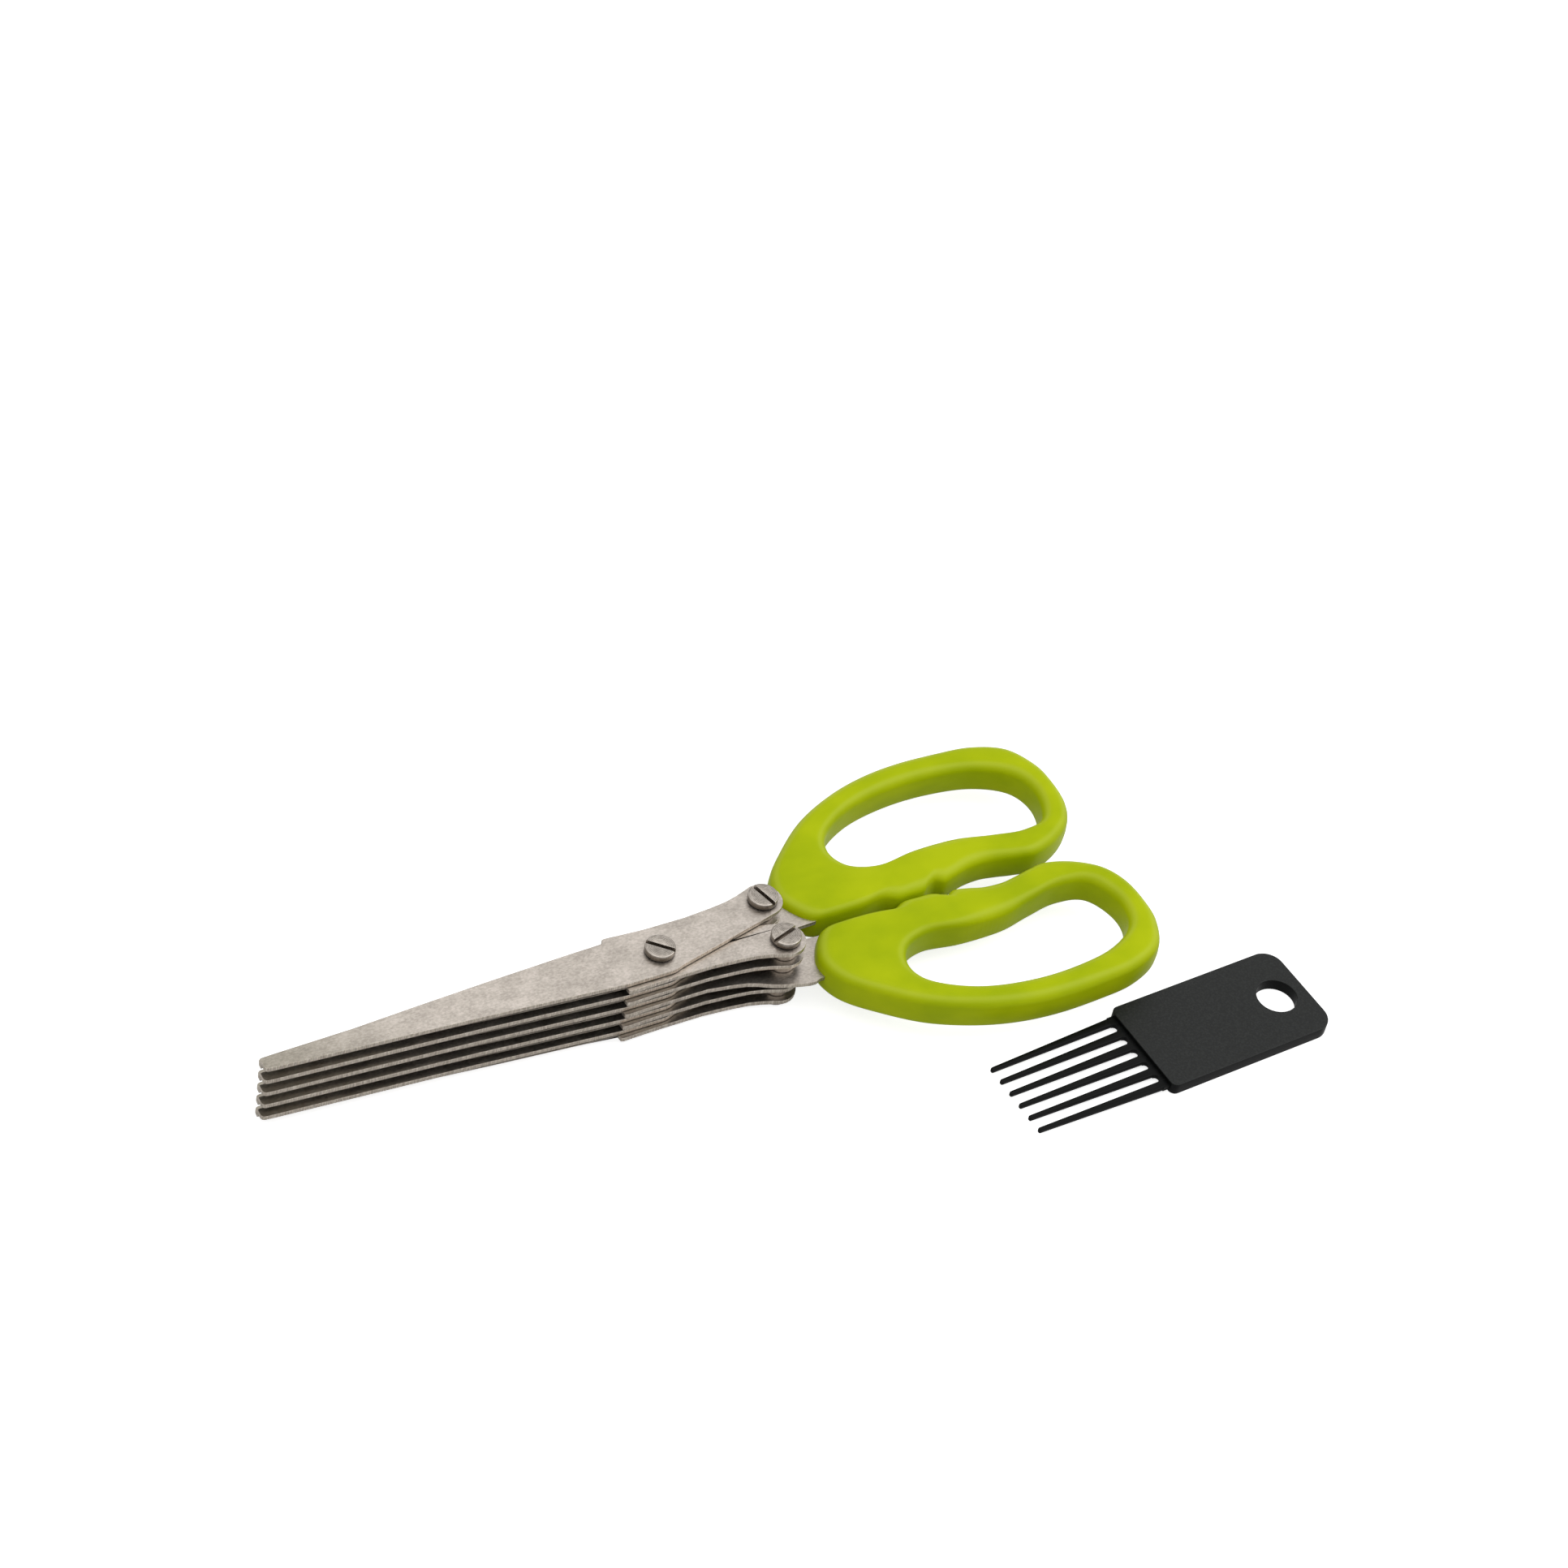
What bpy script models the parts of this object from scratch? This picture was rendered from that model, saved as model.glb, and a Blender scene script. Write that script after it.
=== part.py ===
# Herb scissors: five pairs of thin blades on one pivot, two moulded handles and a cleaning comb.
# The scissors lie closed on the pivot's nut, with the pivot's axis on Z and the handles at +X.
import bpy
import bmesh
import math
import numpy as np
from mathutils import Matrix, Vector

MM = 0.001

# Blade plates
PAIRS = 5
HANDLE_PAIR = 2
BLADE_REACH = 88.4 * MM
HEEL_REACH = 10.2 * MM
HEEL_WIDTH = 6.85 * MM
TIP_WIDTH = 2.7 * MM
SPINE_WIDTH = 5.9 * MM
TIP_SPINE = 0.4 * MM
TIP_CORNER = 0.9 * MM
RICASSO_WIDTH = 6.7 * MM
RICASSO_STEP = 0.45 * MM
GRIND_WIDTH = 0.7 * MM
LOWER_GRIND = 0.6 * MM
PLATE = 1.05 * MM
SHEAR_GAP = 0.2 * MM
PAIR_PITCH = 3.7 * MM
BLADE_SET = math.radians(2.15)
EDGE_POWER = 1.25
SPINE_SHARES = [(0.0, 1.0), (0.15, 0.83), (0.4, 0.55), (0.7, 0.27), (0.86, 0.12), (1.0, 0.0)]

# Tang ends of the plates, where the five plates of each half are screwed together
TANG_X = 27.5 * MM
TANG_Y = 5.4 * MM
TANG_RADIUS = 4.45 * MM

# Shanks of the middle pair, which run on into the handles
SHANK_OUTER = 12.9 * MM
SHANK_INNER = 1.4 * MM
TONGUE_LENGTH = 13.5 * MM
TONGUE_INNER = 3.6 * MM
TONGUE_OUTER = 12.5 * MM
FLARE_SHARES = [(0.93, 1.0), (0.72, 0.85), (0.54, 0.64)]
PEG_RADIUS = 2.0 * MM
MOULD_GAP = 0.15 * MM

# Screws, nuts and washers
SHAFT_RADIUS = 2.0 * MM
HEAD_RADIUS = 3.3 * MM
HEAD_HEIGHT = 1.6 * MM
HEAD_CHAMFER = 0.35 * MM
SLOT_WIDTH = 0.9 * MM
SLOT_DEPTH = 0.8 * MM
NUT_HEIGHT = 1.4 * MM
WASHER_RADIUS = 4.0 * MM
SPACER_RADIUS = 3.1 * MM
RUNNING_GAP = 0.1 * MM
SEAT_GAP = 0.1 * MM
PIVOT_SLOT_TURN = math.radians(-43)
SLOT_TURN_A = math.radians(-74)
SLOT_TURN_B = math.radians(18)

# Handles
BOW_START = 33.4 * MM
BOW_LENGTH = 78.4 * MM
BOW_WIDTH = 37.5 * MM
HANDLE_HEIGHT = 8.8 * MM
HANDLE_DROP = 0.6 * MM
SECTION_POWER = 3.2
LOOP_MIDDLE_SHARES = (0.576, 0.533)
OUTLINE_SHARES = [
    (0.003, 0.267), (0.026, 0.135), (0.067, 0.045), (0.128, 0.028), (0.218, 0.029), (0.297, 0.034),
    (0.333, 0.010), (0.375, 0.008), (0.416, 0.009), (0.438, 0.034), (0.465, 0.041), (0.490, 0.034),
    (0.531, 0.046), (0.580, 0.078), (0.640, 0.083), (0.691, 0.069), (0.750, 0.046), (0.806, 0.038),
    (0.883, 0.092), (0.951, 0.197), (0.988, 0.347), (0.996, 0.533), (0.986, 0.695), (0.938, 0.868),
    (0.843, 0.961), (0.730, 0.991), (0.589, 1.000), (0.461, 0.971), (0.339, 0.899), (0.211, 0.771),
    (0.102, 0.591), (0.028, 0.430),
]
LOOP_SHARES = [
    (0.240, 0.480), (0.270, 0.622), (0.373, 0.745), (0.499, 0.803), (0.640, 0.816), (0.787, 0.779),
    (0.889, 0.665), (0.918, 0.480), (0.878, 0.279), (0.787, 0.238), (0.691, 0.276), (0.589, 0.327),
    (0.474, 0.325), (0.359, 0.289), (0.272, 0.345),
]

# Cleaning comb, lying beside the scissors
COMB_X = 93.7 * MM
COMB_ASIDE = 12.9 * MM
COMB_TURN = math.radians(2.75)
COMB_LENGTH = 44.3 * MM
COMB_WIDTH = 24.3 * MM
COMB_HEIGHT = 3.0 * MM
COMB_FAR_CORNER = 5.0 * MM
COMB_ROOT_CORNER = 1.6 * MM
COMB_EDGE = 0.4 * MM
COMB_HOLE_INSET = 7.4 * MM
COMB_HOLE_RADIUS = 5.0 * MM
TINES = 6
TINE_LENGTH = 33.3 * MM
TINE_HEIGHT = 1.1 * MM
TINE_LIFT = 0.9 * MM
TINE_ROOT = 1.9 * MM
TINE_TIP = 0.9 * MM
TINE_PITCH = 3.9 * MM
TINE_TIP_PITCH = 3.62 * MM
TINE_WEB = 0.8 * MM

# Modelling values
EDGE_STEPS = 9
SECTION_SIDES = 14
OVERRUN = 2.0 * MM
WELD = 0.001 * MM

PAIR_HEIGHT = 2 * PLATE + SHEAR_GAP
STACK_TOP = NUT_HEIGHT + SEAT_GAP + (PAIRS - 1) * PAIR_PITCH + PAIR_HEIGHT
BORE = SHAFT_RADIUS + RUNNING_GAP


def level(pair, lower):
    """Height of the middle of a plate; pairs count from the top."""
    upper = STACK_TOP - PLATE / 2 - pair * PAIR_PITCH
    return upper - PLATE - SHEAR_GAP if lower else upper


# Materials

def rgb(code):
    values = [int(code[i:i + 2], 16) / 255 for i in (0, 2, 4)]
    return [v / 12.92 if v <= 0.04045 else ((v + 0.055) / 1.055) ** 2.4 for v in values] + [1.0]


def make_material(name, code, roughness, metallic):
    material = bpy.data.materials.new(name)
    material.use_nodes = True
    shader = material.node_tree.nodes["Principled BSDF"]
    shader.inputs["Base Color"].default_value = rgb(code)
    shader.inputs["Roughness"].default_value = roughness
    shader.inputs["Metallic"].default_value = metallic
    material.diffuse_color = rgb(code)
    return material


# Shared helpers

def arc(centre, radius, start, end, steps):
    """Points on an arc, angles in radians, both ends included."""
    angles = [start + (end - start) * k / steps for k in range(steps + 1)]
    return [(centre[0] + radius * math.cos(a), centre[1] + radius * math.sin(a)) for a in angles]


def smooth(points, steps, closed):
    """Points on a Catmull-Rom curve through the given points."""
    count = len(points)
    spans = count if closed else count - 1
    result = []
    for k in range(spans):
        places = [k - 1, k, k + 1, k + 2]
        places = [p % count if closed else min(max(p, 0), count - 1) for p in places]
        p0, p1, p2, p3 = [Vector(points[p]) for p in places]
        for s in range(steps):
            t = s / steps
            result.append(tuple(0.5 * (2 * p1 + (p2 - p0) * t + (2 * p0 - 5 * p1 + 4 * p2 - p3) * t * t
                                       + (3 * p1 - p0 - 3 * p2 + p3) * t ** 3)))
    return result if closed else result + [tuple(points[-1])]


def scaled(shares, length, width, start=0):
    return [(start + along * length, across * width) for along, across in shares]


def flat_mesh(name, outlines, thickness, rounding=0):
    """A flat plate from closed counterclockwise outlines, the first one outside and the rest holes."""
    curve = bpy.data.curves.new(name, "CURVE")
    curve.dimensions = "2D"
    curve.fill_mode = "BOTH"
    curve.extrude = thickness / 2 - rounding
    curve.bevel_depth = rounding
    curve.offset = -rounding
    curve.bevel_resolution = 0
    for number, outline in enumerate(outlines):
        if number and rounding:
            outline = outline[::-1]
        spline = curve.splines.new("POLY")
        spline.points.add(len(outline) - 1)
        for point, place in zip(spline.points, outline):
            point.co = (place[0], place[1], 0, 1)
        spline.use_cyclic_u = True
    guide = bpy.data.objects.new(name, curve)
    bpy.context.scene.collection.objects.link(guide)
    evaluated = guide.evaluated_get(bpy.context.evaluated_depsgraph_get())
    mesh = bpy.data.meshes.new_from_object(evaluated)
    bpy.data.objects.remove(guide)
    bpy.data.curves.remove(curve)
    mesh.name = name
    body = bmesh.new()
    body.from_mesh(mesh)
    bmesh.ops.remove_doubles(body, verts=body.verts, dist=WELD)
    bmesh.ops.recalc_face_normals(body, faces=body.faces)
    body.to_mesh(mesh)
    body.free()
    return mesh


def circle(x, y, radius, sides=24):
    return arc((x, y), radius, 0, math.tau * (sides - 1) / sides, sides - 1)


def add_piece(name, mesh, material, parent, place=(0, 0, 0), turn=0):
    piece = bpy.data.objects.new(name, mesh)
    scissors.objects.link(piece)
    mesh.materials.clear()
    mesh.materials.append(material)
    mesh.shade_smooth()
    mesh.set_sharp_from_angle(angle=math.radians(30))
    piece.location = place
    piece.rotation_euler.z = turn
    piece.parent = parent
    return piece


def add_cutter(name, mesh, parent, place=(0, 0, 0), turn=0):
    cutter = bpy.data.objects.new(name, mesh)
    cutters.objects.link(cutter)
    cutter.location = place
    cutter.rotation_euler.z = turn
    cutter.parent = parent
    cutter.display_type = "WIRE"
    cutter.hide_render = True
    return cutter


def combine(piece, tool, operation):
    modifier = piece.modifiers.new(tool.name, "BOOLEAN")
    modifier.object = tool
    modifier.operation = operation
    modifier.solver = "EXACT"


def turned(name, profile, material, parent, place, turn=0, steps=28):
    """A turned piece: the profile runs down its outer side from top to bottom."""
    body = bmesh.new()
    verts = [body.verts.new((x, 0, z)) for x, z in profile]
    for first, second in zip(verts, verts[1:]):
        body.edges.new((first, second))
    if profile[0][0] > 0:
        body.edges.new((verts[-1], verts[0]))
    mesh = bpy.data.meshes.new(name)
    body.to_mesh(mesh)
    body.free()
    piece = add_piece(name, mesh, material, parent, place, turn)
    screw = piece.modifiers.new("Turn", "SCREW")
    screw.steps = steps
    screw.render_steps = steps
    screw.use_merge_vertices = True
    screw.merge_threshold = WELD
    return piece


# Blades

def tangent_from(point, centre, radius):
    """Angle at which a line from the point touches the lower side of a circle."""
    away = Vector(point) - Vector(centre)
    return math.atan2(away.y, away.x) + math.acos(radius / away.length)


def ricasso():
    """Unsharpened stretch beside the pivot, and the step down to the heel of the cutting edge."""
    step = RICASSO_STEP
    top = HEEL_WIDTH + step
    return [(0, RICASSO_WIDTH), (-HEEL_REACH / 2, (RICASSO_WIDTH + top) / 2), (-HEEL_REACH + 2 * step, top),
            (-HEEL_REACH + step / 2, top - step / 3), (-HEEL_REACH, HEEL_WIDTH + step / 4)]


def cutting_side():
    """Cutting edge from heel to tip, then the spine back from the tip's rounded corner."""
    length = BLADE_REACH - HEEL_REACH
    along = [k / EDGE_STEPS for k in range(EDGE_STEPS + 1)]
    taper = HEEL_WIDTH - TIP_WIDTH
    edge = [(-HEEL_REACH - length * s, HEEL_WIDTH - taper * s ** EDGE_POWER) for s in along]
    shares = smooth(SPINE_SHARES, 3, closed=False)[:-1]
    spine = [(-HEEL_REACH - length * s, -TIP_SPINE - (SPINE_WIDTH - TIP_SPINE) * w) for s, w in shares]
    corner = (-BLADE_REACH + TIP_CORNER, -TIP_SPINE + TIP_CORNER)
    return edge + arc(corner, TIP_CORNER, math.pi, 1.5 * math.pi, 4) + spine[::-1]


def plate_outline(long):
    """Outline of an upper plate, counterclockwise from the spine beside the pivot."""
    boss = arc((0, 0), SPINE_WIDTH, math.radians(-90), math.radians(-62), 3)
    tang = (TANG_X, TANG_Y)
    touch = tangent_from(boss[-1], tang, TANG_RADIUS)
    if long:
        tongue_end = BOW_START + TONGUE_LENGTH
        back = [(TANG_X + TANG_RADIUS * math.cos(touch), TANG_Y + TANG_RADIUS * math.sin(touch)),
                (BOW_START, SHANK_INNER), (BOW_START + TONGUE_INNER - SHANK_INNER, TONGUE_INNER),
                (tongue_end, TONGUE_INNER), (tongue_end, TONGUE_OUTER)]
        flare = [(BOW_START, TONGUE_OUTER)] + scaled(FLARE_SHARES, BOW_START, SHANK_OUTER)
        back += smooth(flare + [(TANG_X / 3, RICASSO_WIDTH)], 3, closed=False)
    else:
        end = arc(tang, TANG_RADIUS, touch, math.radians(98), 12)
        swell = [end[-1], (0.72 * TANG_X, 1.42 * TANG_Y), (TANG_X / 3, RICASSO_WIDTH)]
        back = end[:-1] + smooth(swell, 3, closed=False)
    return boss + back + ricasso() + cutting_side()


def grind(body, back):
    """Grind the cutting edge back, with its outer side face leaning in towards the upper face."""
    for vert in body.verts:
        if vert.co.x < -HEEL_REACH + WELD and vert.co.y > TIP_WIDTH - WELD:
            vert.co.y -= back + (GRIND_WIDTH if vert.co.z > 0 else 0)


def make_blade(pair, lower, parent):
    name = f"blade_{'b' if lower else 'a'}{pair + 1}"
    long = pair == HANDLE_PAIR
    holes = [circle(0, 0, BORE), circle(TANG_X, TANG_Y, BORE)]
    if long:
        holes.append(circle(BOW_START + TONGUE_LENGTH / 2, (TONGUE_INNER + TONGUE_OUTER) / 2, PEG_RADIUS))
    mesh = flat_mesh(name, [plate_outline(long)] + holes, PLATE)
    body = bmesh.new()
    body.from_mesh(mesh)
    grind(body, LOWER_GRIND if lower else 0)
    if lower:
        # A lower plate is an upper one ground back and turned over, its blade set so that the tips line up.
        blade = [vert for vert in body.verts if vert.co.x < 0]
        bmesh.ops.rotate(body, verts=blade, matrix=Matrix.Rotation(BLADE_SET, 3, "Z"))
        body.transform(Matrix.Rotation(math.pi, 4, "X"))
    body.to_mesh(mesh)
    body.free()
    return add_piece(name, mesh, steel, parent, (0, 0, level(pair, lower)))


# Handles

def loop_radius(angles):
    """Distance from the middle of the finger loop to the loop's edge, in each direction."""
    middle = np.array(scaled([LOOP_MIDDLE_SHARES], BOW_LENGTH, BOW_WIDTH, BOW_START)[0])
    points = smooth(scaled(LOOP_SHARES, BOW_LENGTH, BOW_WIDTH, BOW_START), 6, closed=True)
    away = np.array(points) - middle
    around = np.arctan2(away[:, 1], away[:, 0])
    order = np.argsort(around)
    return middle, np.interp(angles, around[order], np.hypot(*away[order].T), period=math.tau)


def handle_mesh(name, side):
    """A ring of sections, each on a line from the middle of the loop out through the outline."""
    outline = np.array(smooth(scaled(OUTLINE_SHARES, BOW_LENGTH, BOW_WIDTH, BOW_START), 3, closed=True))
    middle = loop_radius([0])[0]
    away = outline - middle
    angles = np.arctan2(away[:, 1], away[:, 0])
    inner = middle + loop_radius(angles)[1][:, None] * np.column_stack([np.cos(angles), np.sin(angles)])
    body = bmesh.new()
    rings = []
    for outside, inside in zip(outline, inner):
        ring = []
        for k in range(SECTION_SIDES):
            turn = math.tau * (k + 0.5) / SECTION_SIDES
            across = math.copysign(abs(math.cos(turn)) ** (2 / SECTION_POWER), math.cos(turn))
            height = math.copysign(abs(math.sin(turn)) ** (2 / SECTION_POWER), math.sin(turn))
            x, y = (outside + inside) / 2 + (outside - inside) / 2 * across
            ring.append(body.verts.new((x, side * y, height * HANDLE_HEIGHT / 2)))
        rings.append(ring)
    for ring, after in zip(rings, rings[1:] + rings[:1]):
        for k in range(SECTION_SIDES):
            n = (k + 1) % SECTION_SIDES
            body.faces.new((ring[k], ring[n], after[n], after[k]))
    bmesh.ops.recalc_face_normals(body, faces=body.faces)
    mesh = bpy.data.meshes.new(name)
    body.to_mesh(mesh)
    body.free()
    return mesh


def make_handle(name, side, lower, parent):
    plate_level = level(HANDLE_PAIR, lower)
    middle = level(HANDLE_PAIR, False) + PLATE / 2 - PAIR_HEIGHT / 2 - HANDLE_DROP
    handle = add_piece(name, handle_mesh(name, side), green_plastic, parent, (0, 0, middle))
    gap = MOULD_GAP
    end = BOW_START + TONGUE_LENGTH + gap
    low = TONGUE_INNER - gap
    high = TONGUE_OUTER + gap
    pocket = [(BOW_START - OVERRUN, low), (end, low), (end, high), (BOW_START - OVERRUN, high)]
    peg = circle(BOW_START + TONGUE_LENGTH / 2, (TONGUE_INNER + TONGUE_OUTER) / 2, PEG_RADIUS - gap)
    outlines = [[(x, side * y) for x, y in outline] for outline in (pocket, peg)]
    mesh = flat_mesh(name + "_pocket", outlines, PLATE + 2 * gap)
    cutter = add_cutter(name + "_pocket", mesh, parent, (0, 0, plate_level))
    combine(handle, cutter, "DIFFERENCE")
    return handle


# Screws, nuts and washers

def slotted_screw(name, head_level, length, slot_turn, parent, place):
    top = HEAD_HEIGHT
    profile = [(0, top), (HEAD_RADIUS - HEAD_CHAMFER, top), (HEAD_RADIUS, top - HEAD_CHAMFER),
               (HEAD_RADIUS, 0), (SHAFT_RADIUS, 0), (SHAFT_RADIUS, -length), (0, -length)]
    where = (place[0], place[1], head_level)
    screw = turned(name, profile, screw_steel, parent, where, slot_turn)
    body = bmesh.new()
    bmesh.ops.create_cube(body, size=1)
    bmesh.ops.scale(body, vec=(2 * HEAD_RADIUS + OVERRUN, SLOT_WIDTH, 2 * SLOT_DEPTH), verts=body.verts)
    mesh = bpy.data.meshes.new(name + "_slot")
    body.to_mesh(mesh)
    body.free()
    slot = add_cutter(name + "_slot", mesh, parent, (place[0], place[1], head_level + top), slot_turn)
    combine(screw, slot, "DIFFERENCE")
    return screw


def ring_piece(name, outer, bottom, height, material, parent, place):
    profile = [(BORE, height), (outer, height), (outer, 0), (BORE, 0)]
    return turned(name, profile, material, parent, (place[0], place[1], bottom), steps=24)


def fastening(suffix, side, lower, slot_turn, parent):
    """Screw, nut and spacers that hold the five tang ends of one half together."""
    place = (TANG_X, side * TANG_Y)
    head_level = level(0, lower) + PLATE / 2 + SEAT_GAP
    nut_bottom = level(PAIRS - 1, lower) - PLATE / 2 - SEAT_GAP - NUT_HEIGHT
    length = head_level - nut_bottom
    slotted_screw(f"tang_screw_{suffix}", head_level, length, slot_turn, parent, place)
    ring_piece(f"tang_nut_{suffix}", HEAD_RADIUS, nut_bottom, NUT_HEIGHT, screw_steel, parent, place)
    spacer = PAIR_PITCH - PLATE - 2 * SEAT_GAP
    for gap in range(1, PAIRS):
        bottom = level(gap, lower) + PLATE / 2 + SEAT_GAP
        ring_piece(f"tang_spacer_{suffix}{gap}", SPACER_RADIUS, bottom, spacer, screw_steel, parent, place)


def pivot_fastening(parent):
    centre = (0, 0)
    head_level = STACK_TOP + SEAT_GAP
    slotted_screw("pivot_screw", head_level, head_level, PIVOT_SLOT_TURN, parent, centre)
    ring_piece("pivot_nut", HEAD_RADIUS, 0, NUT_HEIGHT, screw_steel, parent, centre)
    washer = PAIR_PITCH - PAIR_HEIGHT - 2 * SEAT_GAP
    for gap in range(1, PAIRS):
        bottom = level(gap, False) + PLATE / 2 + SEAT_GAP
        ring_piece(f"pivot_washer_{gap}", WASHER_RADIUS, bottom, washer, screw_steel, parent, centre)


# Comb

def comb_plate():
    half = COMB_WIDTH / 2
    near, far = COMB_ROOT_CORNER, COMB_FAR_CORNER
    quarter = math.pi / 2
    outline = arc((near, -half + near), near, 2 * quarter, 3 * quarter, 4)
    outline += arc((COMB_LENGTH - far, -half + far), far, 3 * quarter, 4 * quarter, 8)
    outline += arc((COMB_LENGTH - far, half - far), far, 0, quarter, 8)
    outline += arc((near, half - near), near, quarter, 2 * quarter, 4)
    hole = circle(COMB_LENGTH - COMB_HOLE_INSET, 0, COMB_HOLE_RADIUS, 32)
    return flat_mesh("comb", [outline, hole], COMB_HEIGHT, COMB_EDGE)


def tine_outline():
    """Six tapered tines with rounded slots between them, on a root that reaches into the plate."""
    outline = []
    for k in range(TINES):
        place = k - (TINES - 1) / 2
        root, tip = place * TINE_PITCH, place * TINE_TIP_PITCH
        blunt = TINE_TIP / 2
        outline += [(-TINE_WEB - (TINE_PITCH - TINE_ROOT) / 2, root - TINE_ROOT / 2)]
        outline += arc((-TINE_LENGTH + blunt, tip), blunt, math.radians(-90), math.radians(-270), 4)
        outline += [(-TINE_WEB - (TINE_PITCH - TINE_ROOT) / 2, root + TINE_ROOT / 2)]
        if k < TINES - 1:
            slot = (-TINE_WEB - (TINE_PITCH - TINE_ROOT) / 2, root + TINE_PITCH / 2)
            outline += arc(slot, (TINE_PITCH - TINE_ROOT) / 2, math.radians(-90), math.radians(90), 6)[1:-1]
    last = (TINES - 1) / 2 * TINE_PITCH + TINE_ROOT / 2
    return outline + [(COMB_ROOT_CORNER, last), (COMB_ROOT_CORNER, -last)]


def make_comb(parent):
    comb = add_piece("comb", comb_plate(), black_plastic, parent, (0, 0, COMB_HEIGHT / 2))
    mesh = flat_mesh("comb_tines", [tine_outline()], TINE_HEIGHT)
    tines = add_cutter("comb_tines", mesh, parent, (0, 0, TINE_LIFT + TINE_HEIGHT / 2))
    combine(comb, tines, "UNION")
    return comb


# Assembly

def pivot_empty(name, place=(0, 0, 0), turn=0):
    empty = bpy.data.objects.new(name, None)
    scissors.objects.link(empty)
    empty.location = place
    empty.rotation_euler.z = turn
    return empty


for leftover in list(bpy.data.objects):
    bpy.data.objects.remove(leftover)

scissors = bpy.data.collections.new("Herb scissors")
cutters = bpy.data.collections.new("Cutters")
for collection in (scissors, cutters):
    bpy.context.scene.collection.children.link(collection)

steel = make_material("Stamped stainless steel", "c3bab0", 0.35, 1.0)
screw_steel = make_material("Turned stainless steel", "b5ada3", 0.3, 1.0)
green_plastic = make_material("Moulded green plastic", "a4b407", 0.4, 0.0)
black_plastic = make_material("Moulded black plastic", "323433", 0.5, 0.0)

half_a = pivot_empty("half_a_on_pivot")
half_b = pivot_empty("half_b_on_pivot")
comb_place = pivot_empty("comb_place", (COMB_X, -BOW_WIDTH - COMB_ASIDE, 0), COMB_TURN)

for pair in range(PAIRS):
    make_blade(pair, False, half_a)
    make_blade(pair, True, half_b)
make_handle("handle_a", 1, False, half_a)
make_handle("handle_b", -1, True, half_b)
fastening("a", 1, False, SLOT_TURN_A, half_a)
fastening("b", -1, True, SLOT_TURN_B, half_b)
pivot_fastening(half_b)
make_comb(comb_place)
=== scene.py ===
from math import cos, pi, radians, sin, tau

import bmesh
import bpy
import numpy as np
from mathutils import Matrix, Vector


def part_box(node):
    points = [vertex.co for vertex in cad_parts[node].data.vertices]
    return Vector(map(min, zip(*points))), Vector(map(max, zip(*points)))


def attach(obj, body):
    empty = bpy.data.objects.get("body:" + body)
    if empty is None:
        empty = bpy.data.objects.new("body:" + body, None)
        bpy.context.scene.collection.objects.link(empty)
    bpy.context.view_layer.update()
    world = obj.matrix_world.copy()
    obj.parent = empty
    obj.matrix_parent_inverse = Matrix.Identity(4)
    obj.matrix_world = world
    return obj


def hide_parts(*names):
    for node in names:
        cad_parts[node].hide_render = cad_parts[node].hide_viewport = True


# herb scissors with five pairs of blades, and their cleaning comb, dressed as in the photograph
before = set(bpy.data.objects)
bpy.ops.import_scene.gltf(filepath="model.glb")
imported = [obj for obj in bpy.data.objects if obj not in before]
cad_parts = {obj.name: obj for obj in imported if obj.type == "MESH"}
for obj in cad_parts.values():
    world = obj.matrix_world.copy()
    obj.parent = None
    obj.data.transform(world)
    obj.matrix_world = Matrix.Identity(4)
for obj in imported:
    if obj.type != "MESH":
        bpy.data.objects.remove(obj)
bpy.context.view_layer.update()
mm = 0.001
weld = 0.002 * mm  # points closer together than this are one point
print("frame loaded:", len(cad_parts), "nodes")


# node helpers

def linear(hexColour):
    # sRGB hex to the linear values that Blender wants
    parts = [int(hexColour[i:i + 2], 16) / 255 for i in (1, 3, 5)]
    return tuple(c / 12.92 if c <= 0.04045 else ((c + 0.055) / 1.055) ** 2.4 for c in parts) + (1,)


def add(tree, kind, settings=None, *values, **inputs):
    # adds a node with its settings and links; settings are a dictionary, or only the operation's name.
    # An input comes in its place, by its name or as i6. It is a value, a socket, a node, which stands for
    # its first output, or a list of them for a socket that takes several.
    node = tree.nodes.new(kind)
    settings = {"operation": settings} if isinstance(settings, str) else settings or {}
    for key, value in settings.items():
        if key == "stops":  # a colour ramp's (place, colour) pairs
            points = node.color_ramp.elements
            while len(points) < len(value):
                points.new(0.5)
            for spot, (place, colour) in zip(points, value):
                spot.position = place
                spot.color = linear(colour)
        else:
            setattr(node, key, value)
    for key, value in [*enumerate(values), *inputs.items()]:
        if isinstance(key, str):
            key = int(key[1:]) if key[0] == "i" and key[1:].isdigit() else key.replace("_", " ")
        for item in value if isinstance(value, list) else [value]:
            if isinstance(item, bpy.types.Node):
                item = item.outputs[0]
            if isinstance(item, bpy.types.NodeSocket):
                tree.links.new(item, node.inputs[key])
            else:
                node.inputs[key].default_value = item
    return node


def newMaterial(name):
    material = bpy.data.materials.new(name)
    material.use_nodes = True
    tree = material.node_tree
    shader = next(n for n in tree.nodes if n.bl_idname == "ShaderNodeBsdfPrincipled")
    return material, tree, shader


def stretched(tree, size, centre=(0, 0, 0), turn=0.0):
    # object coordinates counted in cells of the given size, about a centre
    place = add(tree, "ShaderNodeTexCoord").outputs["Object"]
    away = add(tree, "ShaderNodeVectorMath", "SUBTRACT", place, centre)
    return add(tree, "ShaderNodeMapping", Vector=away, Rotation=(0, 0, turn),
               Scale=tuple(1 / s for s in size))


noiseRange = (0.35, 0.65)  # where nearly all of a noise's values lie


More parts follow.
